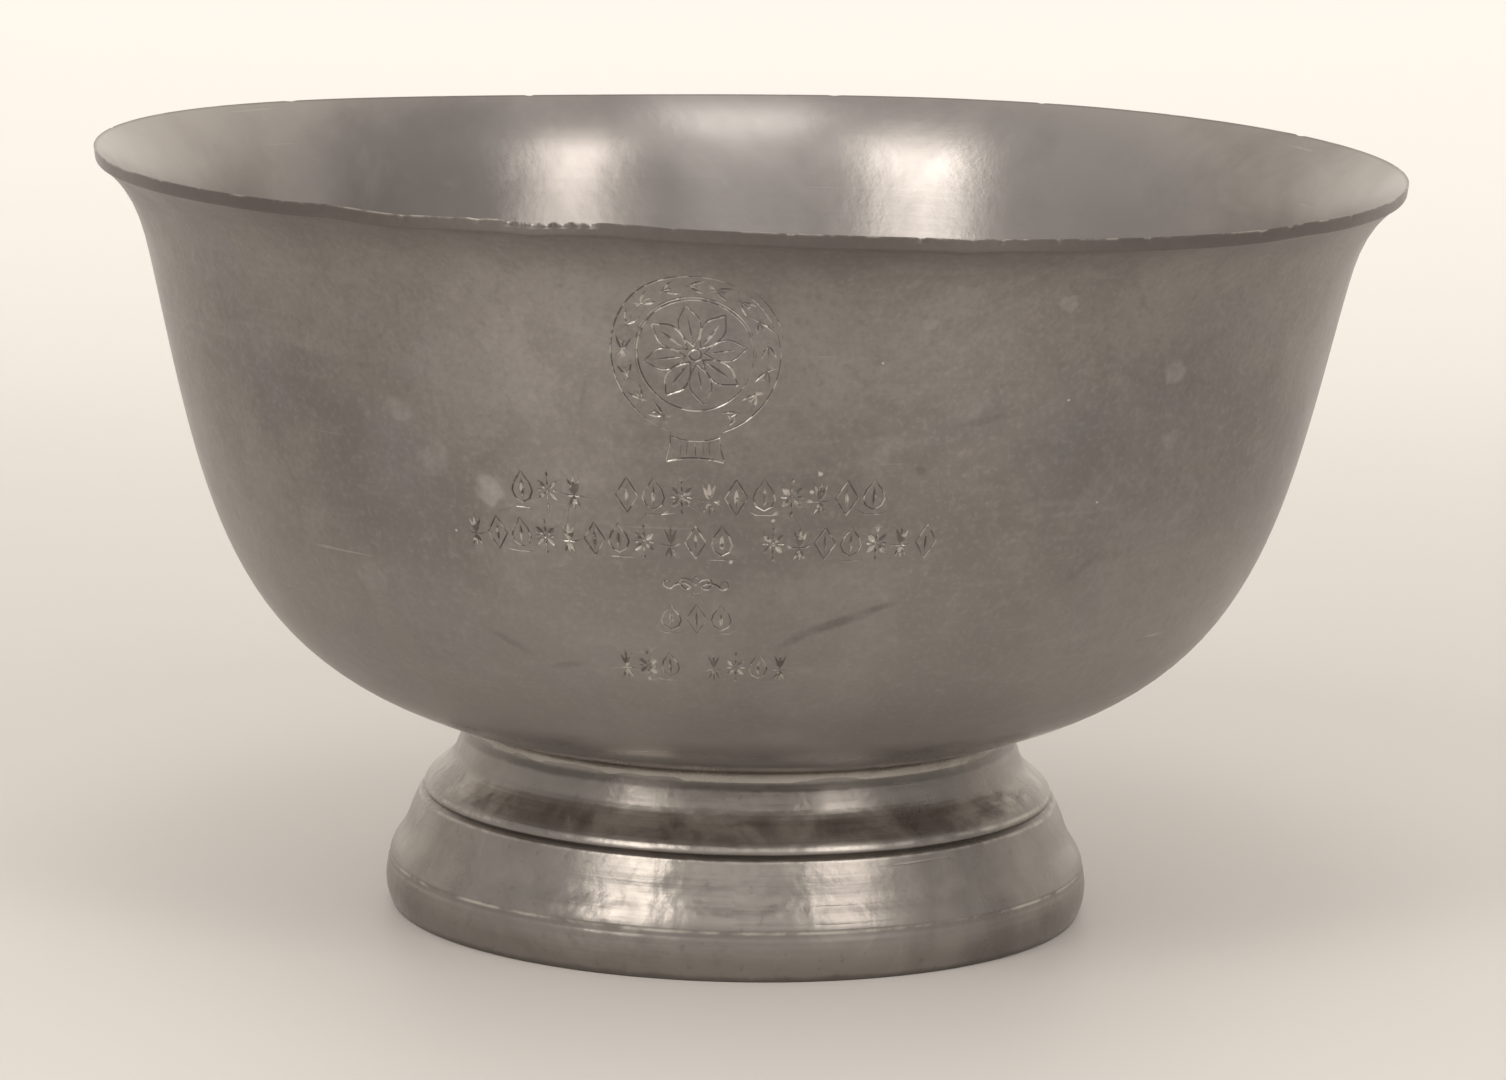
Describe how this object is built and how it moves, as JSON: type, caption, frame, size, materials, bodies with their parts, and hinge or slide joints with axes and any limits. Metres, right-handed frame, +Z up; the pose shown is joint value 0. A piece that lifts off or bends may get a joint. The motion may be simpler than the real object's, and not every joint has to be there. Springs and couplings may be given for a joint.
{
  "type": "trophy bowl",
  "caption": "Round metal presentation bowl with a rolled-out lip, soldered to a low hollow foot, that stands on its foot as a cup trophy and holds small things.",
  "frame": {"origin": "centre of the foot's base ring, on the surface that the bowl stands on", "axes": "+Z up along the bowl's axis; -Y is the engraved front"},
  "size_m": [0.1524, 0.1524, 0.0889],
  "materials": {
    "bowl_pewter": "tarnished satin pewter, spun, brighter and smoother inside",
    "foot_pewter": "polished pewter, softly worn",
    "solder": "smooth tin solder"
  },
  "bodies": {
    "root": {"bowl": "bowl_pewter", "foot": "foot_pewter", "solder_joint": "solder"}
  },
  "joints": []
}
